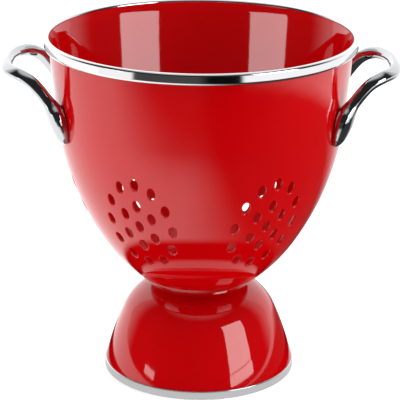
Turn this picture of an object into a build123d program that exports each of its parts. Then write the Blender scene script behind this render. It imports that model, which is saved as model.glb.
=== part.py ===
from build123d import *
from math import cos, degrees, pi, radians, sin
import os

# Footed enamel colander. Millimetres, +Z up, origin on the table under the middle of the bowl.
# X runs from one handle to the other.

# Sheet and overall sizes
WALL = 1.2                      # enamelled steel sheet
RIM_RADIUS = 80.0               # outside of the rim band
HEIGHT = 180.5                  # top of the rim band
BAND_SHEET = 0.8                # stainless sheet of the rim band

# Rim band: a channel crimped over the bowl's rolled lip
RIM_BAND_HEIGHT = 5.9
RIM_BAND_WIDTH = 2.9
RIM_BAND_INNER_LEG = 1.6
RIM_BAND_EDGE = 1.2             # rounding of the channel's outer corners

# Bowl: outer wall from under the rim band down to the base
BOWL_TOP_RADIUS = 77.4
BOWL_DRAFT = 5.5                # degrees from vertical
BOWL_STRAIGHT = 34.8            # length of the straight, drafted wall
BOWL_SIDE_ARC = (145.0, 34.3)   # radius, and slope at the arc's lower end
BOWL_BASE_ARC = (90.0, 50.3)
BOWL_KNUCKLE_ARC = (4.0, 90.0)

# Foot: outer wall from the top of the foot band up to the neck
FOOT_BAND_RADIUS = 50.2
FOOT_BAND_HEIGHT = 4.5
FOOT_BAND_SHEET = 0.8
FOOT_WALL_RADIUS = 49.4
FOOT_DRAFT = 13.7
FOOT_SIDE_ARC = (170.0, 23.7)
FOOT_SHOULDER_ARC = (27.7, 66.0)
FOOT_NECK_FILLET = 2.5
FOOT_BAND_INNER_LEG = 3.0

# Perforation: clusters of one, six and twelve holes round the bowl, and one in the base
HOLE_WIDTH = 4.1                # punched round, then stretched along the wall by the drawing
HOLE_HEIGHT = 6.8
BASE_HOLE_DIAMETER = 5.6
CLUSTER_COUNT = 6
CLUSTER_DEPTH = 80.6            # along the wall, from under the rim band to the cluster's middle
CLUSTER_SHIFT = 1.7             # degrees between a cluster and the handles' axis
CLUSTER_TURN = 3.5              # degrees that each cluster leans
CLUSTER_RINGS = ((6, 8.5, 12.8), (12, 17.5, 25.5))   # holes, half width, half height
BASE_RINGS = ((6, 8.2), (12, 16.4))                  # holes, ring radius

# Handles: a cast loop whose two legs end in spade pads on the bowl's wall
PAD_HEIGHT = 140.0              # screw axis above the table, on the outer wall
PAD_ANGLE = 23.0                # degrees each side of the handle's middle
PAD_THICKNESS = 5.4
PAD_LOWER_RADIUS = 6.3
PAD_UPPER_RADIUS = 3.3
PAD_LOWER_DROP = 3.6            # pad's lower circle below the screw axis
PAD_UPPER_RISE = 11.0
PAD_EDGE = 2.4
PAD_SEAT_GAP = 0.02             # film between a pad and the enamel
BAR_WIDTH = 5.8
BAR_DEPTH = 6.4
BAR_CORNER = 2.3
BAR_REACH = 98.5                # middle of the grip from the bowl's axis
BAR_GRIP_HEIGHT = 165.2
LEG_SPREAD = 29.3               # half distance between the legs at the pads
LEG_FOOT = (71.8, 143.0)        # X and Z of the leg's middle inside the pad
LEG_BEND = (75.6, 152.5)
LEG_SHOULDER = (85.0, 164.6)
SHOULDER_SPREAD = 28.4           # the legs close in a little towards the grip
GRIP_CORNER_SPREAD = 26.0
LEG_RADII = (12.0, 13.0, 15.0)  # bend, shoulder and grip corner

# Fasteners: one screw and one sealing washer for each pad, from inside the bowl
SCREW_RADIUS = 2.0
SCREW_DEPTH = 4.0               # thread inside the pad
SCREW_CLEARANCE = 0.2
SCREW_HEAD_RADIUS = 4.0
SCREW_HEAD_HEIGHT = 2.4
SCREW_SOCKET_WIDTH = 2.5
SCREW_SOCKET_DEPTH = 1.3
WASHER_RADIUS = 4.8
WASHER_THICKNESS = 1.0


def heading(angle, upward):
    """Direction along a wall that leans inwards by angle degrees from vertical."""
    return (-sin(radians(angle)), cos(radians(angle)) * (1 if upward else -1))


def wall_line(start, angle, straight, arcs, inset, upward):
    """Edges of a wall's meridian, moved inwards by inset: a straight, then tangent arcs.

    Each arc is (radius, slope at its end). Slopes are from vertical, leaning inwards.
    """
    dr, dz = heading(angle, upward)
    point = (start[0] - abs(dz) * inset, start[1] + dr * inset * (1 if upward else -1))
    edges = []
    if straight:
        end = (point[0] + dr * straight, point[1] + dz * straight)
        edges.append(Line(point, end))
        point = end
    slope = angle
    for radius, end_slope in arcs:
        turn = end_slope - slope
        hollow = turn < 0
        size = turn if upward else -turn
        arc = JernArc(point, heading(slope, upward), radius + (inset if hollow else -inset), size)
        edges.append(arc)
        point = (arc @ 1).X, (arc @ 1).Y
        slope = end_slope
    return edges


def end_of(edge):
    """Last point of an edge, as radius and height."""
    point = edge @ 1
    return (point.X, point.Y)


def start_of(edge):
    """First point of an edge, as radius and height."""
    point = edge @ 0
    return (point.X, point.Y)


def turned(edges):
    """Solid of revolution round Z of the closed outline that the edges make."""
    return revolve(Plane.XZ * make_face(edges), Axis.Z)


def straights(corners):
    """Open chain of straight edges through the corners."""
    return [Line(a, b) for a, b in zip(corners, corners[1:])]


BOWL_ARCS = (BOWL_SIDE_ARC, BOWL_BASE_ARC, BOWL_KNUCKLE_ARC)
BOWL_TOP = HEIGHT - RIM_BAND_HEIGHT
THROAT_RADIUS = BOWL_TOP_RADIUS + BAND_SHEET
LIP = (RIM_RADIUS - RIM_BAND_WIDTH, HEIGHT - RIM_BAND_INNER_LEG)     # inner leg's lower edge


def bowl_line(inset):
    """Meridian of the bowl, inset from its outer face."""
    return wall_line((BOWL_TOP_RADIUS, BOWL_TOP), BOWL_DRAFT, BOWL_STRAIGHT, BOWL_ARCS, inset, False)


BOWL_BOTTOM = end_of(bowl_line(0)[-1])[1]


def bowl_body(swell=0.0):
    """Bowl as if it were solid, up to the throat that enters the rim band, swollen all over."""
    line = bowl_line(-swell)
    base = end_of(line[-1])
    throat = [(THROAT_RADIUS, LIP[1]), (THROAT_RADIUS, start_of(line[0])[1])]
    corners = [base, (0, base[1]), (0, LIP[1])] + throat + [start_of(line[0])]
    return turned(line + straights(corners))


def bowl_hollow():
    """Space inside the bowl's wall, up past the rim."""
    line = bowl_line(WALL)
    base = end_of(line[-1])
    corners = [base, (0, base[1]), (0, HEIGHT), (LIP[0], HEIGHT), LIP, start_of(line[0])]
    return turned(line + straights(corners))


def ring(section):
    """Ring of a section drawn as radius and height."""
    return revolve(Plane.XZ * section, Axis.Z)


def lip_section():
    """Section of the bowl's rolled lip, which fills the rim band."""
    width = RIM_BAND_WIDTH - 2 * BAND_SHEET
    height = RIM_BAND_HEIGHT - 2 * BAND_SHEET
    middle = (RIM_RADIUS - RIM_BAND_WIDTH / 2, HEIGHT - RIM_BAND_HEIGHT / 2)
    return Pos(*middle) * RectangleRounded(width, height, RIM_BAND_EDGE - BAND_SHEET)


def make_rim_band():
    """Stainless channel over the lip: open at the throat, below its short inner leg."""
    block = Pos(LIP[0], BOWL_TOP) * Rectangle(RIM_BAND_WIDTH, RIM_BAND_HEIGHT, align=(Align.MIN, Align.MIN))
    corners = block.vertices().sort_by(lambda v: v.X + v.Y)[1:]
    throat = Rectangle(THROAT_RADIUS - LIP[0], LIP[1] - BOWL_TOP, align=(Align.MIN, Align.MIN))
    section = fillet(corners, RIM_BAND_EDGE) - lip_section() - Pos(LIP[0], BOWL_TOP) * throat
    return ring(section)


def on_wall(depth, azimuth):
    """Location on the bowl's outer face: Z axis out of the wall, Y axis up along it.

    depth is measured down the wall from under the rim band, azimuth from +X in degrees.
    """
    spine = Wire(bowl_line(0))
    point = spine.position_at(depth, position_mode=PositionMode.LENGTH)
    along = spine.tangent_at(depth, position_mode=PositionMode.LENGTH)
    plane = Plane(origin=(point.X, 0, point.Y), x_dir=(0, 1, 0), z_dir=(-along.Y, 0, along.X))
    return Rot(0, 0, azimuth) * plane.location


def wall_radius(depth):
    """Radius of the bowl's outer face at a depth down the wall."""
    return Wire(bowl_line(0)).position_at(depth, position_mode=PositionMode.LENGTH).X


def ring_points(count, half_width, half_height):
    """Points of an elliptical ring, across and up, the first one straight up."""
    turns = [2 * pi * i / count for i in range(count)]
    return [(half_width * sin(t), half_height * cos(t)) for t in turns]


def cluster_points():
    """Hole centres of one cluster, across and up from its middle, with its lean."""
    points = [(0.0, 0.0)]
    for count, half_width, half_height in CLUSTER_RINGS:
        points += ring_points(count, half_width, half_height)
    lean = radians(CLUSTER_TURN)
    return [(x * cos(lean) + y * sin(lean), y * cos(lean) - x * sin(lean)) for x, y in points]


def wall_drills():
    """Drills for every hole in the bowl's side, each square to the wall."""
    drill = extrude(Ellipse(HOLE_WIDTH / 2, HOLE_HEIGHT / 2), 3 * WALL, both=True)
    drills = []
    for index in range(CLUSTER_COUNT):
        middle = 360 / CLUSTER_COUNT * index + CLUSTER_SHIFT
        for across, up in cluster_points():
            depth = CLUSTER_DEPTH - up
            azimuth = middle + degrees(across / wall_radius(depth))
            drills.append(on_wall(depth, azimuth) * drill)
    return drills


def base_drills():
    """Drills for the drain holes in the bowl's base."""
    points = [(0.0, 0.0)]
    for count, radius in BASE_RINGS:
        points += ring_points(count, radius, radius)
    return [Pos(x, y, BOWL_BOTTOM) * Cylinder(BASE_HOLE_DIAMETER / 2, 6 * WALL) for x, y in points]


def pad_depth():
    """Depth down the wall of the pads' screw axes."""
    return (BOWL_TOP - PAD_HEIGHT) / cos(radians(BOWL_DRAFT))


def pad_places():
    """Locations of the four screw axes on the wall, by handle and side."""
    azimuths = {
        ("right", "front"): -PAD_ANGLE,
        ("right", "back"): PAD_ANGLE,
        ("left", "front"): 180 + PAD_ANGLE,
        ("left", "back"): 180 - PAD_ANGLE,
    }
    return {name: on_wall(pad_depth(), azimuth) for name, azimuth in azimuths.items()}


def make_bowl():
    """Bowl with its rolled lip, perforation and screw holes."""
    bowl = bowl_body() + ring(lip_section())
    bowl -= bowl_hollow()
    screw_drill = Cylinder(SCREW_RADIUS + SCREW_CLEARANCE, 6 * WALL)
    screws = [place * screw_drill for place in pad_places().values()]
    return bowl - (wall_drills() + base_drills() + screws)


def foot_line(inset):
    """Meridian of the foot, from the foot band up to the neck."""
    arcs = (FOOT_SIDE_ARC, FOOT_SHOULDER_ARC, (FOOT_NECK_FILLET, 0.0))
    return wall_line((FOOT_WALL_RADIUS, FOOT_BAND_HEIGHT), FOOT_DRAFT, 0, arcs, inset, True)


def make_foot():
    """Bell-shaped foot, open at the bottom and at the neck."""
    outer = foot_line(0)
    inner = foot_line(WALL)
    low = FOOT_BAND_SHEET
    rim_outer = FOOT_BAND_RADIUS - FOOT_BAND_SHEET
    rim_inner = rim_outer - WALL
    neck_outer = end_of(outer[-1])
    neck_inner = end_of(inner[-1])
    wall_end = start_of(inner[0])
    neck = [neck_outer, (neck_outer[0], BOWL_BOTTOM), (neck_inner[0], BOWL_BOTTOM), neck_inner]
    rim = [wall_end, (rim_inner, wall_end[1] - WALL), (rim_inner, low), (rim_outer, low), start_of(outer[0])]
    return turned(outer + inner + straights(neck) + straights(rim))


def make_foot_band():
    """Stainless channel round the foot's lower edge, which the colander stands on."""
    outer = FOOT_BAND_RADIUS
    edge = outer - FOOT_BAND_SHEET
    inner = edge - WALL
    leg = inner - FOOT_BAND_SHEET
    section = Polygon(
        (leg, 0), (outer, 0), (outer, FOOT_BAND_HEIGHT), (edge, FOOT_BAND_HEIGHT), (edge, FOOT_BAND_SHEET),
        (inner, FOOT_BAND_SHEET), (inner, FOOT_BAND_INNER_LEG), (leg, FOOT_BAND_INNER_LEG), align=None,
    )
    section = fillet(section.vertices().sort_by(Axis.X)[-2:], FOOT_BAND_SHEET * 0.6)
    return ring(section)


def pad_blank():
    """Spade pad, flat underneath, in its screw's frame: Z out of the wall, Y up."""
    outline = make_hull(
        (Pos(0, -PAD_LOWER_DROP) * Circle(PAD_LOWER_RADIUS)).edges()
        + (Pos(0, PAD_UPPER_RISE) * Circle(PAD_UPPER_RADIUS)).edges()
    )
    blank = Pos(0, 0, -2 * WALL) * extrude(outline, PAD_THICKNESS + 2 * WALL)
    return fillet(blank.faces().sort_by(Axis.Z)[-1].edges(), PAD_EDGE)


def loop_bar():
    """Bar of the right handle: two legs and the grip, one smooth bent rod."""
    half = [
        (LEG_FOOT[0], LEG_SPREAD, LEG_FOOT[1]),
        (LEG_BEND[0], LEG_SPREAD, LEG_BEND[1]),
        (LEG_SHOULDER[0], SHOULDER_SPREAD, LEG_SHOULDER[1]),
        (BAR_REACH, GRIP_CORNER_SPREAD, BAR_GRIP_HEIGHT),
    ]
    points = [(x, -y, z) for x, y, z in half] + half[::-1]
    path = FilletPolyline(*points, radius=list(LEG_RADII) + list(LEG_RADII)[::-1])
    start = Plane(origin=path @ 0, x_dir=(0, 1, 0), z_dir=path % 0)
    return sweep(start * RectangleRounded(BAR_WIDTH, BAR_DEPTH, BAR_CORNER), path)


def make_handle(turn):
    """Cast loop handle, turned round Z by turn degrees from +X, with two blind screw holes."""
    hole = Cylinder(SCREW_RADIUS, SCREW_DEPTH + WALL, align=(Align.CENTER, Align.CENTER, Align.MIN))
    pads = [on_wall(pad_depth(), sign * PAD_ANGLE) for sign in (-1, 1)]
    blank = loop_bar()
    for place in pads:
        blank += place * pad_blank()
    handle = Rot(0, 0, turn) * blank - bowl_body(PAD_SEAT_GAP)
    return handle - [Rot(0, 0, turn) * place * Pos(0, 0, -WALL) * hole for place in pads]


def washer_blank():
    """Sealing washer before it takes the wall's curve, in its screw's frame."""
    face = -WALL - WASHER_THICKNESS
    height = WASHER_THICKNESS + WALL / 2
    disc = Cylinder(WASHER_RADIUS, height, align=(Align.CENTER, Align.CENTER, Align.MIN))
    bore = Cylinder(SCREW_RADIUS + SCREW_CLEARANCE, 4 * WALL)
    return Pos(0, 0, face) * (disc - bore)


def screw_blank():
    """Button-head screw with a hexagon socket, its head inside the bowl."""
    seat = -WALL - WASHER_THICKNESS
    head = Cylinder(SCREW_HEAD_RADIUS, SCREW_HEAD_HEIGHT, align=(Align.CENTER, Align.CENTER, Align.MAX))
    head = fillet(head.faces().sort_by(Axis.Z)[0].edges(), SCREW_HEAD_HEIGHT * 0.75)
    socket = extrude(RegularPolygon(SCREW_SOCKET_WIDTH / 2, 6, major_radius=False), SCREW_SOCKET_DEPTH)
    head -= Pos(0, 0, -SCREW_HEAD_HEIGHT) * socket
    shank = Cylinder(SCREW_RADIUS, SCREW_DEPTH - seat, align=(Align.CENTER, Align.CENTER, Align.MIN))
    return Pos(0, 0, seat) * (head + shank)


def write(name, shape):
    """Write one node's STEP file."""
    shape.label = name
    export_step(shape, f"parts/{name}.step")


def main():
    os.makedirs("parts", exist_ok=True)
    bowl = make_bowl()
    write("bowl_shell", bowl)
    write("foot_shell", make_foot())
    write("rim_band", make_rim_band())
    write("foot_band", make_foot_band())
    write("handle_right", make_handle(0))
    write("handle_left", make_handle(180))
    for (handle_name, side), place in pad_places().items():
        write(f"screw_{handle_name}_{side}", place * screw_blank())
        write(f"washer_{handle_name}_{side}", place * washer_blank() - bowl)


main()
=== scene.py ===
from math import cos, pi, radians, sin

import bmesh
import bpy
import numpy as np
from mathutils import Euler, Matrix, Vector
from mathutils.geometry import delaunay_2d_cdt


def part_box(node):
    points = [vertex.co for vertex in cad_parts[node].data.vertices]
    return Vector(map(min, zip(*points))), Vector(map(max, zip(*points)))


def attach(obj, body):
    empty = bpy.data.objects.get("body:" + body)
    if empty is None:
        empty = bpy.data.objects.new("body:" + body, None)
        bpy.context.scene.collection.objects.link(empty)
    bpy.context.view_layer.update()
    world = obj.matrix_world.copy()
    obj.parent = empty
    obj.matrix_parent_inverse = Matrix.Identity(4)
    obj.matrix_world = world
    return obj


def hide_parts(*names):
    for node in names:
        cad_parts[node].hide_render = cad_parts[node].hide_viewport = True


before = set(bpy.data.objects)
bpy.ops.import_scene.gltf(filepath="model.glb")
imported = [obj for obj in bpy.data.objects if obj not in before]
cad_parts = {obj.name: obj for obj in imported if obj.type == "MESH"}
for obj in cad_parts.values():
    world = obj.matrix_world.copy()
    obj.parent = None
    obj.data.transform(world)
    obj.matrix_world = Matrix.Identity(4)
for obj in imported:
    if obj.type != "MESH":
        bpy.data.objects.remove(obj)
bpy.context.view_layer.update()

# Lengths below are in millimetres; every mesh is scaled to metres as it is made.
MM = 0.001


def size_of(node):
    """Lowest and highest corner of a CAD node, in millimetres."""
    low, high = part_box(node)
    return low / MM, high / MM


RIM_LOW, RIM_HIGH = size_of("rim_band")
FOOT_HIGH = size_of("foot_band")[1]
RIM_RADIUS = RIM_HIGH.y
HEIGHT = RIM_HIGH.z
BOWL_TOP = RIM_LOW.z
FOOT_BAND_RADIUS = FOOT_HIGH.y
FOOT_BAND_HEIGHT = FOOT_HIGH.z

# Sheet metal
WALL = 1.2
RIM_BAND_WIDTH = 2.9
RIM_BAND_INNER_LEG = 1.6
RIM_BAND_EDGE = 1.2
RIM_BAND_LOWER_EDGE = 1.7       # rounder than the upper edge, to catch a light line
FOOT_BAND_SHEET = 0.8
FOOT_BAND_INNER_LEG = 3.0

# Walls: start radius, lean from vertical, straight length, then (radius, lean at its end) arcs
BOWL_WALL = (77.4, 5.5, 34.8, ((145.0, 34.3), (90.0, 50.3), (4.0, 90.0)))
FOOT_WALL = (49.4, 13.7, 0.0, ((170.0, 23.7), (27.7, 66.0), (2.5, 0.0)))

LIP_LEAN = 11.6                 # the bowl's wall leans out more where it enters the rim band
LIP_LENGTH = 4.55

# Perforation
SIDE_HOLE = (2.05, 3.4)         # half width and half height
BASE_HOLE = (2.8, 2.8)
HOLE_EDGE = 0.6                 # rounding of a hole's edge: half the wall, so the edge is a half round
CLUSTER_COUNT = 6
CLUSTER_DEPTH = 80.6
CLUSTER_SHIFT = 1.7
CLUSTER_TURN = 3.5
CLUSTER_RINGS = ((6, 8.5, 12.8), (12, 17.5, 25.5))   # holes, half width, half height
BASE_RINGS = ((6, 8.2, 8.2), (12, 16.4, 16.4))

# Mesh density
TURN_STEPS = 240
HOLE_STEPS = 32
EDGE_STEPS = 8
PATCH_STEPS = 28                # turn steps that one cluster's patch is wide
PATCH_DEPTHS = (50.0, 112.0)    # where the patches start and end, down the wall
BASE_OVERRUN = 2.0              # wall carried on past the knuckle, to the drilled base
BASE_GRID = 2.0                 # spacing of the points inside the base


# ---------------------------------------------------------------- meshes

def make_mesh(name, points, faces, normals, material, slot, replaces):
    """Mesh piece from millimetre points with exact normals, riding on the root body."""
    mesh = bpy.data.meshes.new(name)
    mesh.from_pydata([tuple(c * MM for c in p) for p in points], [], faces)
    mesh.validate()
    mesh.shade_smooth()
    if normals is not None:
        mesh.normals_split_custom_set_from_vertices([tuple(n) for n in normals])
    mesh.materials.append(material)
    piece = bpy.data.objects.new(name, mesh)
    bpy.context.scene.collection.objects.link(piece)
    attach(piece, "root")
    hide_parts(*replaces)
    return piece


def rounded(corners, steps=6):
    """Closed section through (radius, height, rounding) corners, anticlockwise.

    Gives (radius, height, normal radius, normal height) points. A corner with no rounding is sharp.
    """
    section = []
    count = len(corners)
    for i, (r, z, rounding) in enumerate(corners):
        here = Vector((r, z))
        before = Vector(corners[i - 1][:2])
        after = Vector(corners[(i + 1) % count][:2])
        come = (here - before).normalized()
        go = (after - here).normalized()
        first = Vector((come.y, -come.x))
        last = Vector((go.y, -go.x))
        turn = come.angle_signed(go)
        if rounding <= 0 or abs(turn) < 1e-4:
            section.append((r, z, first.x, first.y))
            section.append((r, z, last.x, last.y))
            continue
        hollow = -1 if come.x * go.y - come.y * go.x < 0 else 1
        reach = rounding * abs(np.tan(turn / 2))
        centre = here - come * reach - first * rounding * hollow
        for k in range(steps + 1):
            n = first.slerp(last, k / steps)
            p = centre + n * rounding * hollow
            section.append((p.x, p.y, n.x, n.y))
    return section


def lathe(section):
    """Points, faces and normals of a closed anticlockwise section turned round Z."""
    points, faces, normals = [], [], []
    count = len(section)
    for i in range(TURN_STEPS):
        turn = 2 * pi * i / TURN_STEPS
        c, s = cos(turn), sin(turn)
        for r, z, nr, nz in section:
            points.append((r * c, r * s, z))
            normals.append((nr * c, nr * s, nz))
    for i in range(TURN_STEPS):
        j = (i + 1) % TURN_STEPS
        for k in range(count):
            m = (k + 1) % count
            if abs(section[k][0] - section[m][0]) + abs(section[k][1] - section[m][1]) < 1e-7:
                continue
            faces.append((i * count + k, j * count + k, j * count + m, i * count + m))
    return points, faces, normals


class Wall:
    """Section of a pressed wall: a straight, then tangent arcs, measured along its outer face."""

    def __init__(self, start, lean, straight, arcs, upward):
        self.up = 1 if upward else -1
        self.parts = []
        point, lean = Vector(start), radians(lean)
        self.length = 0.0
        if straight:
            self.parts.append((self.length, straight, point.copy(), lean, 0.0))
            point = point + straight * Vector((-sin(lean), self.up * cos(lean)))
            self.length += straight
        for radius, end in arcs:
            end = radians(end)
            bend = radius if end > lean else -radius
            size = abs(radius * (end - lean))
            self.parts.append((self.length, size, point.copy(), lean, bend))
            point = point + bend * Vector((cos(end) - cos(lean), self.up * (sin(end) - sin(lean))))
            lean = end
            self.length += size
        self.parts.append((self.length, 1e9, point.copy(), lean, 0.0))

    def at(self, along, depth=0.0):
        """(radius, height, normal radius, normal height) at a depth inside the outer face."""
        begin, _, point, lean, bend = [p for p in self.parts if p[0] <= max(along, 0.0) + 1e-9][-1]
        run = along - begin
        if along < 0:
            lean, bend = radians(LIP_LEAN), 0.0
        if bend:
            end = lean + run / bend
            place = point + bend * Vector((cos(end) - cos(lean), self.up * (sin(end) - sin(lean))))
            lean = end
        else:
            place = point + run * Vector((-sin(lean), self.up * cos(lean)))
        normal = Vector((cos(lean), self.up * sin(lean)))
        place = place - depth * normal
        return place.x, place.y, normal.x, normal.y


def ring_points(rings):
    """Hole centres of a pattern, across and up from its middle."""
    points = [(0.0, 0.0)]
    for count, half_width, half_height in rings:
        turns = [2 * pi * i / count for i in range(count)]
        points += [(half_width * sin(t), half_height * cos(t)) for t in turns]
    return points


class Sheet:
    """Perforated sheet built from a flat pattern: two faces, and a rounded edge in every hole."""

    def __init__(self, surface, gloss_lift=None):
        self.surface = surface          # (flat point, depth) to (point, normal)
        self.gloss_lift = gloss_lift    # flat point to how much the inner face's normal leans up
        self.points, self.faces, self.normals = [], [], []

    def add(self, point, normal):
        self.points.append(tuple(point))
        self.normals.append(tuple(normal))
        return len(self.points) - 1

    def add_faces(self, pattern, faces):
        """Both faces of the sheet over a flat triangulation. Returns the vertices of each."""
        sides = []
        for depth, flip in ((0.0, False), (WALL, True)):
            ids = []
            for flat in pattern:
                point, normal = self.surface(flat, depth)
                if flip:
                    normal = -normal
                    if self.gloss_lift:
                        normal = (normal + Vector((0, 0, self.gloss_lift(flat)))).normalized()
                ids.append(self.add(point, normal))
            for face in faces:
                loop = [ids[v] for v in face]
                self.faces.append(loop[::-1] if flip else loop)
            sides.append(ids)
        return sides

    def add_edge(self, centre, scale, half):
        """Rounded edge of the hole at a flat centre. scale stretches the hole across the flat pattern."""
        rows = []
        for k in range(EDGE_STEPS + 1):
            a = pi * k / EDGE_STEPS
            grow = HOLE_EDGE * (1 - sin(a))
            depth = WALL / 2 - HOLE_EDGE * cos(a)
            width, height = half[0] + grow, half[1] + grow
            row = []
            for i in range(HOLE_STEPS):
                t = 2 * pi * i / HOLE_STEPS
                flat = (centre[0] + width * cos(t) * scale, centre[1] + height * sin(t))
                point, normal = self.surface(flat, depth)
                away = Vector((height * cos(t), width * sin(t))).normalized()
                outward, _ = self.surface((flat[0] + away.x * scale, flat[1] + away.y), depth)
                radial = (outward - point).normalized()
                row.append(self.add(point, normal * cos(a) - radial * sin(a)))
            rows.append(row)
        for a, b in zip(rows, rows[1:]):
            for i in range(HOLE_STEPS):
                j = (i + 1) % HOLE_STEPS
                self.faces.append((a[i], b[i], b[j], a[j]))


def pattern_with_holes(border, inner, holes, scales, half):
    """Flat triangulation inside border, round the holes. Returns points and faces."""
    points = list(border)
    edges = [(i, (i + 1) % len(border)) for i in range(len(border))]
    for (x, y), scale in zip(holes, scales):
        for grow in (HOLE_EDGE, 2 * HOLE_EDGE):
            base = len(points)
            for i in range(HOLE_STEPS):
                t = 2 * pi * i / HOLE_STEPS
                points.append((x + (half[0] + grow) * cos(t) * scale, y + (half[1] + grow) * sin(t)))
            edges += [(base + i, base + (i + 1) % HOLE_STEPS) for i in range(HOLE_STEPS)]

    def clear_of_holes(x, y, grow):
        """Is a flat point outside every hole grown by a margin?"""
        for (hx, hy), scale in zip(holes, scales):
            if ((x - hx) / scale / (half[0] + grow)) ** 2 + ((y - hy) / (half[1] + grow)) ** 2 < 1:
                return False
        return True

    points += [(x, y) for x, y in inner if clear_of_holes(x, y, 3 * HOLE_EDGE)]
    flat, _, faces, _, _, _ = delaunay_2d_cdt([Vector(p) for p in points], edges, [], 1, 1e-5)
    kept = []
    for face in faces:
        cx = sum(flat[v].x for v in face) / len(face)
        cy = sum(flat[v].y for v in face) / len(face)
        if clear_of_holes(cx, cy, HOLE_EDGE * 0.9):
            area = sum(
                flat[face[i]].x * flat[face[i - 2]].y - flat[face[i - 2]].x * flat[face[i]].y
                for i in range(len(face))
            )
            kept.append(list(face) if area < 0 else list(face)[::-1])
    return [(v.x, v.y) for v in flat], kept


# ---------------------------------------------------------------- materials

def new_material(name):
    """Node material, its nodes and links, and its Principled shader."""
    material = bpy.data.materials.new(name)
    material.use_nodes = True
    tree = material.node_tree
    return material, tree.nodes, tree.links, tree.nodes["Principled BSDF"]


def object_noise(nodes, links, scale, detail=2.0, stretch=(1, 1, 1)):
    """Noise in the object's own coordinates."""
    place = nodes.new("ShaderNodeTexCoord")
    mapping = nodes.new("ShaderNodeMapping")
    mapping.inputs["Scale"].default_value = stretch
    noise = nodes.new("ShaderNodeTexNoise")
    noise.inputs["Scale"].default_value = scale
    noise.inputs["Detail"].default_value = detail
    links.new(place.outputs["Object"], mapping.inputs["Vector"])
    links.new(mapping.outputs["Vector"], noise.inputs["Vector"])
    return noise


def ramp_between(nodes, links, source, low, high, low_at=0.35, high_at=0.65):
    """Colour ramp driven by a value."""
    ramp = nodes.new("ShaderNodeValToRGB")
    ramp.color_ramp.elements[0].position = low_at
    ramp.color_ramp.elements[0].color = low
    ramp.color_ramp.elements[1].position = high_at
    ramp.color_ramp.elements[1].color = high
    links.new(source, ramp.inputs["Fac"])
    return ramp


def add_bump(nodes, links, shader, height, strength, distance):
    """Bump on a shader's normal."""
    bump = nodes.new("ShaderNodeBump")
    bump.inputs["Strength"].default_value = strength
    bump.inputs["Distance"].default_value = distance
    links.new(height, bump.inputs["Height"])
    links.new(bump.outputs["Normal"], shader.inputs["Normal"])


def enamel_material():
    """Fired red enamel: glassy, with a faint waviness and tiny shifts of red."""
    material, nodes, links, shader = new_material("red_enamel")
    patches = object_noise(nodes, links, 14.0, 3.0)
    ramp = ramp_between(nodes, links, patches.outputs["Fac"], (0.42, 0.0, 0.001, 1), (0.46, 0.0, 0.0015, 1))
    links.new(ramp.outputs["Color"], shader.inputs["Base Color"])
    shader.inputs["Roughness"].default_value = 0.05
    shader.inputs["IOR"].default_value = 1.55
    waves = object_noise(nodes, links, 60.0, 2.0)
    add_bump(nodes, links, shader, waves.outputs["Fac"], 0.03, 0.001)
    return material


def metal_material(name, colour, roughness, scratch_scale, scratch_stretch, strength):
    """Bright metal with fine polishing marks and slightly uneven gloss."""
    material, nodes, links, shader = new_material(name)
    shader.inputs["Metallic"].default_value = 1.0
    tint = object_noise(nodes, links, 25.0, 2.0)
    pale = tuple(min(1.0, c * 1.03) for c in colour) + (1,)
    ramp = ramp_between(nodes, links, tint.outputs["Fac"], colour + (1,), pale)
    links.new(ramp.outputs["Color"], shader.inputs["Base Color"])
    gloss = object_noise(nodes, links, 40.0, 3.0)
    spread = nodes.new("ShaderNodeMapRange")
    spread.inputs["To Min"].default_value = roughness * 0.8
    spread.inputs["To Max"].default_value = roughness * 1.25
    links.new(gloss.outputs["Fac"], spread.inputs["Value"])
    links.new(spread.outputs["Result"], shader.inputs["Roughness"])
    marks = object_noise(nodes, links, scratch_scale, 2.0, scratch_stretch)
    add_bump(nodes, links, shader, marks.outputs["Fac"], strength, 0.0002)
    return material


def rubber_material():
    """Matt silicone with a fine grain."""
    material, nodes, links, shader = new_material("silicone_rubber")
    grain = object_noise(nodes, links, 900.0, 4.0)
    ramp = ramp_between(nodes, links, grain.outputs["Fac"], (0.02, 0.02, 0.021, 1), (0.035, 0.035, 0.036, 1))
    links.new(ramp.outputs["Color"], shader.inputs["Base Color"])
    shader.inputs["Roughness"].default_value = 0.6
    add_bump(nodes, links, shader, grain.outputs["Fac"], 0.2, 0.0002)
    return material


ENAMEL = enamel_material()
CHROME = metal_material("chrome_plate", (0.50, 0.51, 0.525), 0.05, 120.0, (1, 1, 1), 0.02)
STAINLESS = metal_material("polished_stainless", (0.68, 0.68, 0.69), 0.08, 220.0, (1, 1, 6), 0.03)
SCREW_STEEL = metal_material("screw_steel", (0.66, 0.66, 0.67), 0.22, 400.0, (1, 1, 4), 0.05)
RUBBER = rubber_material()


# ---------------------------------------------------------------- bowl

# Shading only: the inner face's normals lean up near the rim, so that it mirrors the highlight lamps.
# The real wall has no such lean. The value is fitted to where the inner highlights should be.
GLOSS_LIFT = 0.25
GLOSS_LIFT_DEPTHS = (46.0, 70.0)    # full down to the first depth, gone at the second


def bowl_wall():
    """Outer meridian of the bowl."""
    start, lean, straight, arcs = BOWL_WALL
    return Wall((start, BOWL_TOP), lean, straight, arcs, False)


def bowl_surface(wall):
    """Maps (azimuth in radians, distance down the wall) and a depth to a point and its normal."""
    def surface(flat, depth):
        azimuth, along = flat
        r, z, nr, nz = wall.at(along, depth)
        c, s = cos(azimuth), sin(azimuth)
        return Vector((r * c, r * s, z)), Vector((nr * c, nr * s, nz))
    return surface


def gloss_lift(flat):
    """How much the inner face's normal leans up at a flat point of the bowl."""
    full, none = GLOSS_LIFT_DEPTHS
    t = min(1.0, max(0.0, (none - flat[1]) / (none - full)))
    return GLOSS_LIFT * t * t * (3 - 2 * t)


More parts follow.
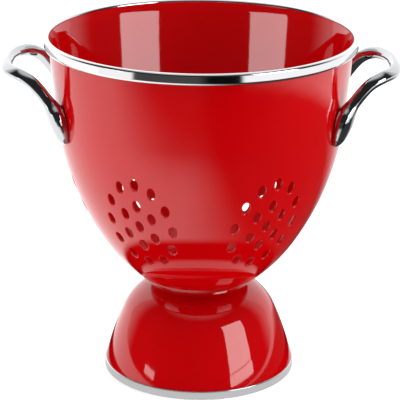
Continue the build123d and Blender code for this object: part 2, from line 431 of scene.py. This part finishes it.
def cluster_patch(wall, rows):
    """Flat pattern of one cluster, in azimuth about its middle and distance down the wall, and its holes."""
    lean = radians(CLUSTER_TURN)
    holes, scales = [], []
    for x, y in ring_points(CLUSTER_RINGS):
        across = x * cos(lean) + y * sin(lean)
        along = CLUSTER_DEPTH - (y * cos(lean) - x * sin(lean))
        scales.append(1 / wall.at(along)[0])
        holes.append((across * scales[-1], along))
    reference = wall.at(CLUSTER_DEPTH)[0]
    half = PATCH_STEPS // 2
    turns = [2 * pi * i / TURN_STEPS for i in range(-half, half + 1)]
    border = [(t, rows[0]) for t in turns]
    border += [(turns[-1], y) for y in rows[1:]]
    border += [(t, rows[-1]) for t in turns[-2::-1]]
    border += [(turns[0], y) for y in rows[-2:0:-1]]
    inner = [(t, y) for t in turns[1:-1] for y in rows[1:-1]]
    # the triangulation works in millimetres, so azimuths are scaled by the cluster's radius
    flat, faces = pattern_with_holes(
        [(x * reference, y) for x, y in border],
        [(x * reference, y) for x, y in inner],
        [(x * reference, y) for x, y in holes],
        [s * reference for s in scales],
        SIDE_HOLE,
    )
    return [(x / reference, y) for x, y in flat], faces, holes, scales


def steps_between(low, high, count):
    """Evenly spaced values after low, up to high."""
    return [low + (high - low) * (i + 1) / count for i in range(count)]


def make_bowl():
    """Perforated bowl: side wall, cluster patches, drilled base and the lip inside the rim band."""
    wall = bowl_wall()
    sheet = Sheet(bowl_surface(wall), gloss_lift)
    patch_top, patch_end = PATCH_DEPTHS
    patch_rows = [patch_top] + steps_between(patch_top, patch_end, 31)
    knuckle_radius, knuckle_start = BOWL_WALL[3][2][0], BOWL_WALL[3][1][1]
    arc_end = wall.length - knuckle_radius * radians(90.0 - knuckle_start)
    rows = [-LIP_LENGTH] + steps_between(-LIP_LENGTH, 0.0, 3) + steps_between(0.0, patch_top, 25)
    rows += patch_rows[1:] + steps_between(patch_end, arc_end, 10) + steps_between(arc_end, wall.length, 8)
    rows.append(wall.length + BASE_OVERRUN)
    step = 2 * pi / TURN_STEPS
    shift = radians(CLUSTER_SHIFT)
    flat = [(shift + i * step, y) for y in rows for i in range(TURN_STEPS)]
    faces = []
    per_cluster = TURN_STEPS // CLUSTER_COUNT
    half = PATCH_STEPS // 2
    for k in range(len(rows) - 1):
        perforated = patch_rows[0] <= rows[k] < patch_rows[-1]
        for i in range(TURN_STEPS):
            if perforated and (i + half) % per_cluster < PATCH_STEPS:
                continue
            j = (i + 1) % TURN_STEPS
            low, high = k * TURN_STEPS, (k + 1) * TURN_STEPS
            faces.append((low + i, high + i, high + j, low + j))
    outer, inner = sheet.add_faces(flat, faces)
    for i in range(TURN_STEPS):
        j = (i + 1) % TURN_STEPS
        sheet.faces.append((outer[i], outer[j], inner[j], inner[i]))
    patch, patch_faces, holes, scales = cluster_patch(wall, patch_rows)
    for index in range(CLUSTER_COUNT):
        middle = shift + 2 * pi * index / CLUSTER_COUNT
        sheet.add_faces([(x + middle, y) for x, y in patch], patch_faces)
        for (x, y), scale in zip(holes, scales):
            sheet.add_edge((x + middle, y), scale, SIDE_HOLE)
    base_radius, bottom = wall.at(rows[-1])[:2]
    add_base(sheet, base_radius, bottom)
    make_mesh("bowl", sheet.points, sheet.faces, sheet.normals, ENAMEL, "enamel", ["bowl_shell"])


def add_base(sheet, radius, bottom):
    """Flat drilled base, added to the bowl's sheet."""
    def flat_surface(flat, depth):
        return Vector((flat[0], flat[1], bottom + depth)), Vector((0, 0, -1))
    sheet.surface, sheet.gloss_lift = flat_surface, None
    shift = radians(CLUSTER_SHIFT)
    turns = [shift + 2 * pi * i / TURN_STEPS for i in range(TURN_STEPS)]
    border = [(radius * cos(t), radius * sin(t)) for t in turns]
    inner = [(x * BASE_GRID, y * BASE_GRID) for x in range(-14, 15) for y in range(-14, 15)]
    inner = [(x, y) for x, y in inner if x * x + y * y < (radius - 1.5) ** 2]
    holes = ring_points(BASE_RINGS)
    points, faces = pattern_with_holes(border, inner, holes, [1.0] * len(holes), BASE_HOLE)
    sheet.add_faces(points, faces)
    for hole in holes:
        sheet.add_edge(hole, 1.0, BASE_HOLE)


# ---------------------------------------------------------------- foot and bands

def make_foot():
    """Bell foot: pressed wall, neck under the bowl's base, and the edge inside the foot band."""
    start, lean, straight, arcs = FOOT_WALL
    wall = Wall((start, FOOT_BAND_HEIGHT), lean, straight, arcs, True)
    bowl_line = bowl_wall()
    bottom = bowl_line.at(bowl_line.length)[1]
    rows = [0.0] + steps_between(0.0, wall.length, 70)
    outer = [wall.at(y) for y in rows]
    inner = [wall.at(y, WALL) for y in reversed(rows)]
    inner = [(r, z, -nr, -nz) for r, z, nr, nz in inner]
    neck, throat = outer[-1][0], inner[0][0]
    edge = FOOT_BAND_RADIUS - FOOT_BAND_SHEET
    section = [(edge, FOOT_BAND_SHEET, 1, 0)] + outer
    section += [(neck, bottom, 1, 0), (neck, bottom, 0, 1), (throat, bottom, 0, 1), (throat, bottom, -1, 0)]
    section += inner
    section += [(edge - WALL, FOOT_BAND_SHEET, -1, 0), (edge - WALL, FOOT_BAND_SHEET, 0, -1)]
    section += [(edge, FOOT_BAND_SHEET, 0, -1)]
    make_mesh("foot", *lathe(section), ENAMEL, "enamel", ["foot_shell"])


def make_rim_band():
    """Polished band over the bowl's lip, solid round it."""
    inner, outer, low = RIM_RADIUS - RIM_BAND_WIDTH, RIM_RADIUS, BOWL_TOP
    leg = HEIGHT - RIM_BAND_INNER_LEG
    wall_face = BOWL_WALL[0] + 0.1
    section = rounded([
        (inner, leg, 0.3), (wall_face, leg, 0.0), (wall_face, low, 0.2), (outer, low, RIM_BAND_LOWER_EDGE),
        (outer, HEIGHT, RIM_BAND_EDGE), (inner, HEIGHT, RIM_BAND_EDGE),
    ])
    make_mesh("rim_ring", *lathe(section), STAINLESS, "stainless", ["rim_band"])


def make_foot_band():
    """Channel round the foot's lower edge."""
    outer, top, sheet = FOOT_BAND_RADIUS, FOOT_BAND_HEIGHT, FOOT_BAND_SHEET
    edge, low = outer - sheet, sheet
    inside = edge - WALL
    leg = FOOT_BAND_INNER_LEG
    section = rounded([
        (inside - sheet, 0.0, 0.4), (outer, 0.0, 0.6), (outer, top, 0.35), (edge, top, 0.2), (edge, low, 0.0),
        (inside, low, 0.0), (inside, leg, 0.2), (inside - sheet, leg, 0.3),
    ])
    make_mesh("foot_ring", *lathe(section), STAINLESS, "stainless", ["foot_band"])


# ---------------------------------------------------------------- handles

# Middle line of half a loop, from the lower tip of a pad to the middle of the grip
HANDLE_ROUTE = (
    (67.6, 28.7, 130.2), (69.4, 29.4, 134.5), (71.2, 29.9, 140.5), (73.2, 29.9, 146.5), (76.6, 29.4, 153.2),
    (83.6, 28.4, 161.6), (90.2, 25.4, 164.9), (95.6, 18.2, 165.3), (98.0, 9.0, 165.4), (98.5, 0.0, 165.4),
)
# Distance from the tip, half width, thickness outwards, thickness inwards, squareness of the section
HANDLE_SECTIONS = (
    (0.0, 0.8, 0.5, 1.4, 2.1), (0.8, 2.5, 1.3, 2.8, 2.1), (2.2, 3.9, 2.1, 4.2, 2.1),
    (4.5, 5.2, 2.9, 5.0, 2.2), (8.0, 6.3, 3.5, 5.2, 2.3), (12.0, 6.9, 3.9, 5.4, 2.4),
    (15.0, 7.0, 3.9, 5.4, 2.5), (18.0, 6.2, 3.6, 5.2, 2.6), (21.0, 4.4, 3.3, 4.2, 2.6),
    (23.5, 3.3, 3.1, 3.4, 2.6), (26.0, 3.0, 3.1, 3.1, 2.6), (34.0, 2.8, 3.1, 3.1, 2.7),
    (60.0, 2.8, 3.2, 3.2, 2.6), (90.0, 2.9, 3.2, 3.2, 2.6),
)
PAD_OUTWARD = (0.92, 0.39, 0.0)     # way out of the wall at a pad
SMOOTH_ROUNDS = 6
ROUTE_STEPS = 100
SECTION_STEPS = 36
SEAT_GAP = 0.03                 # film between a pad and the enamel


def smooth_route(points):
    """Evenly spaced points along a smooth line through the given points, mirrored past its last one."""
    mirrored = [(x, -y, z) for x, y, z in points[-2::-1]]
    line = np.array(list(points) + mirrored)
    ahead = np.vstack([line[0] * 2 - line[1], line, line[-1] * 2 - line[-2]])
    dense = []
    for i in range(1, len(points)):
        p0, p1, p2, p3 = ahead[i - 1:i + 3]
        for t in np.arange(0, 1, 0.05):
            a = 2 * p1 + (p2 - p0) * t + (2 * p0 - 5 * p1 + 4 * p2 - p3) * t ** 2
            dense.append((a + (3 * p1 - p0 - 3 * p2 + p3) * t ** 3) / 2)
    dense.append(np.array(points[-1]))
    dense = np.array(dense)
    gaps = np.linalg.norm(np.diff(dense, axis=0), axis=1)
    length = np.concatenate([[0], np.cumsum(gaps)])
    even = np.linspace(0, length[-1], ROUTE_STEPS)
    return even, np.array([np.interp(even, length, dense[:, k]) for k in range(3)]).T


def settle_on_wall(point, heights, radii):
    """Moves a handle point that lies inside the bowl's wall out onto it."""
    x, y, z = point
    radius = (x * x + y * y) ** 0.5
    seat = np.interp(z, heights, radii) + SEAT_GAP
    grow = max(1.0, seat / radius)
    return (x * grow, y * grow, z)


def handle_rings():
    """Rings of points round one whole loop on the +X side."""
    wall = bowl_wall()
    samples = [wall.at(0.5 * k) for k in range(181)][::-1]
    heights, radii = [p[1] for p in samples], [p[0] for p in samples]
    distance, line = smooth_route(HANDLE_ROUTE)
    for _ in range(SMOOTH_ROUNDS):
        line[1:-1] = (line[:-2] + 2 * line[1:-1] + line[2:]) / 4
    table = np.array(HANDLE_SECTIONS)
    outward = np.array(PAD_OUTWARD)
    rings = []
    for i, here in enumerate(line):
        ahead = line[i + 1] if i + 1 < len(line) else line[i - 1] * (1, -1, 1)
        behind = line[max(i - 1, 0)]
        along = (ahead - behind) / np.linalg.norm(ahead - behind)
        outward = outward - along * (outward @ along)
        outward = outward / np.linalg.norm(outward)
        across = np.cross(along, outward)
        width, out, inside, square = [np.interp(distance[i], table[:, 0], table[:, k]) for k in (1, 2, 3, 4)]
        ring = []
        for k in range(SECTION_STEPS):
            t = 2 * pi * k / SECTION_STEPS
            w = width * np.sign(cos(t)) * abs(cos(t)) ** (2 / square)
            o = (out if sin(t) > 0 else inside) * np.sign(sin(t)) * abs(sin(t)) ** (2 / square)
            ring.append(settle_on_wall(here + across * w + outward * o, heights, radii))
        rings.append(ring)
    mirrored = [[(x, -y, z) for x, y, z in ring] for ring in rings[-2::-1]]
    return rings + mirrored


def make_handle(name, node, turn):
    """Cast loop handle: two spade pads that run into the legs, and the grip between them."""
    rings = handle_rings()
    points = [(x * turn, y * turn, z) for ring in rings for x, y, z in ring]
    count = SECTION_STEPS
    faces = []
    for k in range(len(rings) - 1):
        for i in range(count):
            j = (i + 1) % count
            faces.append((k * count + i, k * count + j, (k + 1) * count + j, (k + 1) * count + i))
    last = (len(rings) - 1) * count
    faces.append(tuple(range(count))[::-1])
    faces.append(tuple(last + i for i in range(count)))
    piece = make_mesh(name, points, faces, None, CHROME, "chrome", [node])
    work = bmesh.new()
    work.from_mesh(piece.data)
    bmesh.ops.recalc_face_normals(work, faces=work.faces)
    work.to_mesh(piece.data)
    work.free()


# ---------------------------------------------------------------- floor, light, camera

# The studio as reflections see it, fitted to the highlights that the object should show. Neither the
# camera nor the fill light sees these levels. Each row: from, to, level at the first, level at the second.
FLOOR_ACROSS = (-0.05, 0.09, 1.5, 0.06)
FLOOR_FRONT = (0.15, 0.38, 1.0, 0.05)
FLOOR_BEHIND = (0.10, 0.30, 0.0, 1.0)
FLOOR_FAR = (0.42, 0.47, 0.0, 1.3)
FLOOR_SECTOR = (0.0, 0.06, 0.0, 1.0)            # edges of the dark sector far in front
FLOOR_SECTOR_SLOPE = 0.49                       # slope of its right edge
FLOOR_PAINTED_SHADOW = (0.084, 0.096, 0.0, 1.0)           # painted shadow under the bowl: a dark ring round the foot that only reflections see
FLOOR_BESIDE_FOOT = (0.058, 0.064, 0.75, 0.0)   # light seen by the foot band
ROOM_BEHIND = (0.1, 0.5, 0.03, 0.95)
ROOM_ABOVE = (0.75, 0.95, 0.0, 0.9)
ROOM_FILL = 0.45
ROOM_CAMERA_EXTRA = 0.65                        # on top of the fill, so that the camera sees white
PAPER_GLOW = 0.30

SWEEP_HALF_WIDTH = 3.5
SWEEP_FRONT = -3.0
SWEEP_BEND = 1.6                # where the floor starts to curve up
SWEEP_RADIUS = 0.8
SWEEP_TOP = 3.5
LIGHT_TARGET = 0.1              # height that every lamp is aimed at

CAMERA_PLACE = (0.0, -0.9444, 0.4136)
CAMERA_LENS = 172.0
CAMERA_DOWN = 18.84             # degrees below level
CAMERA_ROLL = 0.0077            # radians


def value_of(nodes, links, operation, *values):
    """Math node on numbers or sockets."""
    node = nodes.new("ShaderNodeMath")
    node.operation = operation
    for socket, value in zip(node.inputs, values):
        if isinstance(value, (int, float)):
            socket.default_value = value
        else:
            links.new(value, socket)
    return node.outputs[0]


def eased(nodes, links, value, row):
    """Smooth step of a value, from a row of low, high, level at low and level at high."""
    node = nodes.new("ShaderNodeMapRange")
    node.interpolation_type = "SMOOTHSTEP"
    links.new(value, node.inputs["Value"])
    for name, number in zip(("From Min", "From Max", "To Min", "To Max"), row):
        node.inputs[name].default_value = number
    return node.outputs[0]


def reflected_floor(nodes, links):
    """Brightness of the studio floor as gloss sees it: bright on the left, dim in front and near right."""
    place = nodes.new("ShaderNodeTexCoord")
    split = nodes.new("ShaderNodeSeparateXYZ")
    links.new(place.outputs["Object"], split.inputs[0])
    x, y = split.outputs["X"], split.outputs["Y"]
    forward = value_of(nodes, links, "MULTIPLY", y, -1.0)
    x_square, y_square = [value_of(nodes, links, "POWER", side, 2.0) for side in (x, y)]
    distance = value_of(nodes, links, "SQRT", value_of(nodes, links, "ADD", x_square, y_square))
    side = eased(nodes, links, x, FLOOR_ACROSS)
    front = eased(nodes, links, forward, FLOOR_FRONT)
    near = value_of(nodes, links, "MULTIPLY", side, front)
    behind = eased(nodes, links, y, FLOOR_BEHIND)
    right_edge = value_of(nodes, links, "ADD", x, value_of(nodes, links, "MULTIPLY", y, FLOOR_SECTOR_SLOPE))
    left_edge = value_of(nodes, links, "SUBTRACT", y, x)
    right = eased(nodes, links, right_edge, FLOOR_SECTOR)
    left = eased(nodes, links, left_edge, FLOOR_SECTOR)
    sides = value_of(nodes, links, "MAXIMUM", right, left)
    far = value_of(nodes, links, "MULTIPLY", eased(nodes, links, distance, FLOOR_FAR), sides)
    lit = value_of(nodes, links, "MAXIMUM", value_of(nodes, links, "MAXIMUM", near, behind), far)
    # painted shadow: gloss sees the floor dark in a ring under the bowl, round the foot
    outside_painted_shadow = eased(nodes, links, distance, FLOOR_PAINTED_SHADOW)
    beside_foot = eased(nodes, links, distance, FLOOR_BESIDE_FOOT)
    return value_of(nodes, links, "MAXIMUM", value_of(nodes, links, "MULTIPLY", lit, outside_painted_shadow), beside_foot)


def stage_material():
    """Pale studio paper. Reflections see the fitted levels above; everything else sees it plain."""
    material, nodes, links, shader = new_material("studio_paper")
    grain = object_noise(nodes, links, 30.0, 3.0)
    ramp = ramp_between(nodes, links, grain.outputs["Fac"], (0.90, 0.90, 0.90, 1), (0.92, 0.92, 0.92, 1))
    links.new(ramp.outputs["Color"], shader.inputs["Base Color"])
    shader.inputs["Roughness"].default_value = 0.9
    shader.inputs["Specular IOR Level"].default_value = 0.0
    shader.inputs["Emission Color"].default_value = (1, 1, 1, 1)
    shader.inputs["Emission Strength"].default_value = PAPER_GLOW
    glow = nodes.new("ShaderNodeEmission")
    links.new(reflected_floor(nodes, links), glow.inputs["Strength"])
    path = nodes.new("ShaderNodeLightPath")
    mix = nodes.new("ShaderNodeMixShader")
    links.new(path.outputs["Is Glossy Ray"], mix.inputs[0])
    links.new(shader.outputs[0], mix.inputs[1])
    links.new(glow.outputs[0], mix.inputs[2])
    links.new(mix.outputs[0], nodes["Material Output"].inputs["Surface"])
    return material


def add_stage():
    """Plain pale sweep: floor, curve and back wall."""
    profile = [(SWEEP_FRONT, 0.0), (SWEEP_BEND, 0.0)]
    for k in range(1, 10):
        a = radians(10 * k)
        profile.append((SWEEP_BEND + SWEEP_RADIUS * sin(a), SWEEP_RADIUS - SWEEP_RADIUS * cos(a)))
    profile.append((SWEEP_BEND + SWEEP_RADIUS, SWEEP_TOP))
    points = [(x, y, z) for y, z in profile for x in (-SWEEP_HALF_WIDTH, SWEEP_HALF_WIDTH)]
    faces = [(2 * k, 2 * k + 1, 2 * k + 3, 2 * k + 2) for k in range(len(profile) - 1)]
    mesh = bpy.data.meshes.new("studio_sweep")
    mesh.from_pydata(points, [], faces)
    mesh.shade_smooth()
    mesh.materials.append(stage_material())
    sweep = bpy.data.objects.new("studio_sweep", mesh)
    bpy.context.scene.collection.objects.link(sweep)


def add_softbox(name, azimuth, elevation, distance, width, height, radiance, gloss=False):
    """Soft rectangular light aimed at the bowl.

    A fill shows in no gloss, and a highlight shows only there. Azimuth is in degrees from the front,
    to the right.
    """
    light = bpy.data.lights.new(name, "AREA")
    light.shape = "RECTANGLE"
    light.size = width
    light.size_y = height
    light.energy = radiance * pi * width * height
    lamp = bpy.data.objects.new(name, light)
    middle = Vector((0, 0, LIGHT_TARGET))
    flat = distance * cos(radians(elevation))
    turn = radians(azimuth)
    lamp.location = middle + Vector((flat * sin(turn), -flat * cos(turn), distance * sin(radians(elevation))))
    lamp.rotation_euler = (middle - lamp.location).to_track_quat("-Z", "Y").to_euler()
    lamp.visible_camera = False
    lamp.visible_glossy = gloss
    lamp.visible_diffuse = not gloss
    bpy.context.scene.collection.objects.link(lamp)
    return lamp


def add_room():
    """Pale room: white to the eye and for fill, and for gloss dark in front and white behind."""
    world = bpy.data.worlds.new("studio_room")
    world.use_nodes = True
    nodes, links = world.node_tree.nodes, world.node_tree.links
    background = nodes["Background"]
    path = nodes.new("ShaderNodeLightPath")
    place = nodes.new("ShaderNodeTexCoord")
    split = nodes.new("ShaderNodeSeparateXYZ")
    links.new(place.outputs["Generated"], split.inputs[0])
    behind = eased(nodes, links, split.outputs["Y"], ROOM_BEHIND)
    above = eased(nodes, links, split.outputs["Z"], ROOM_ABOVE)
    gloss = value_of(nodes, links, "MAXIMUM", behind, above)
    extra = value_of(nodes, links, "MULTIPLY", path.outputs["Is Camera Ray"], ROOM_CAMERA_EXTRA)
    fill = value_of(nodes, links, "ADD", extra, ROOM_FILL)
    chosen = nodes.new("ShaderNodeMix")
    links.new(path.outputs["Is Glossy Ray"], chosen.inputs[0])
    links.new(fill, chosen.inputs[2])
    links.new(gloss, chosen.inputs[3])
    links.new(chosen.outputs[0], background.inputs["Strength"])
    background.inputs["Color"].default_value = (1.0, 1.0, 1.0, 1)
    bpy.context.scene.world = world


def add_lights():
    """Highlight softboxes each side of the camera, and broad fills at the sides and overhead.

    The big left highlight lights the bowl alone, and a low one stands in for it on the foot.
    """
    add_room()
    add_softbox("right_highlight", 54, 17, 1.2, 0.68, 0.62, 5.5, gloss=True)
    add_softbox("low_right_highlight", 54, -0.4, 1.15, 0.66, 0.09, 5.5, gloss=True)
    add_softbox("low_left_highlight", -62, -1.2, 1.2, 0.30, 0.06, 4.5, gloss=True)
    left = add_softbox("left_highlight", -59, 17, 1.2, 0.66, 0.62, 5.0, gloss=True)
    only_bowl = bpy.data.collections.new("left_highlight_on")
    only_bowl.objects.link(bpy.data.objects["bowl"])
    left.light_linking.receiver_collection = only_bowl
    add_softbox("right_fill", 80, 20, 1.3, 1.0, 1.0, 3.2)
    add_softbox("left_fill", -80, 20, 1.3, 1.0, 1.0, 2.6)
    add_softbox("overhead_fill", 0, 90, 1.4, 1.6, 1.6, 2.2)


def add_camera():
    """Camera in front of the object, above it and looking down, level but for a slight roll."""
    camera = bpy.data.cameras.new("camera")
    camera.sensor_width = 36.0
    camera.lens = CAMERA_LENS
    eye = bpy.data.objects.new("camera", camera)
    eye.location = CAMERA_PLACE
    eye.rotation_euler = Euler((radians(90 - CAMERA_DOWN), 0, 0))
    eye.rotation_euler.rotate_axis("Z", CAMERA_ROLL)
    bpy.context.scene.collection.objects.link(eye)
    bpy.context.scene.camera = eye


def dress_fasteners():
    """Materials of the CAD screws and washers."""
    for name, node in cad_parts.items():
        if name.startswith(("screw", "washer")):
            node.data.materials.clear()
            node.data.materials.append(SCREW_STEEL if name.startswith("screw") else RUBBER)


def build():
    """Whole visual model."""
    add_camera()
    add_stage()
    make_bowl()
    add_lights()
    make_foot()
    make_rim_band()
    make_foot_band()
    make_handle("right_handle", "handle_right", 1)
    make_handle("left_handle", "handle_left", -1)
    dress_fasteners()
    bpy.context.scene.view_settings.view_transform = "Standard"


build()
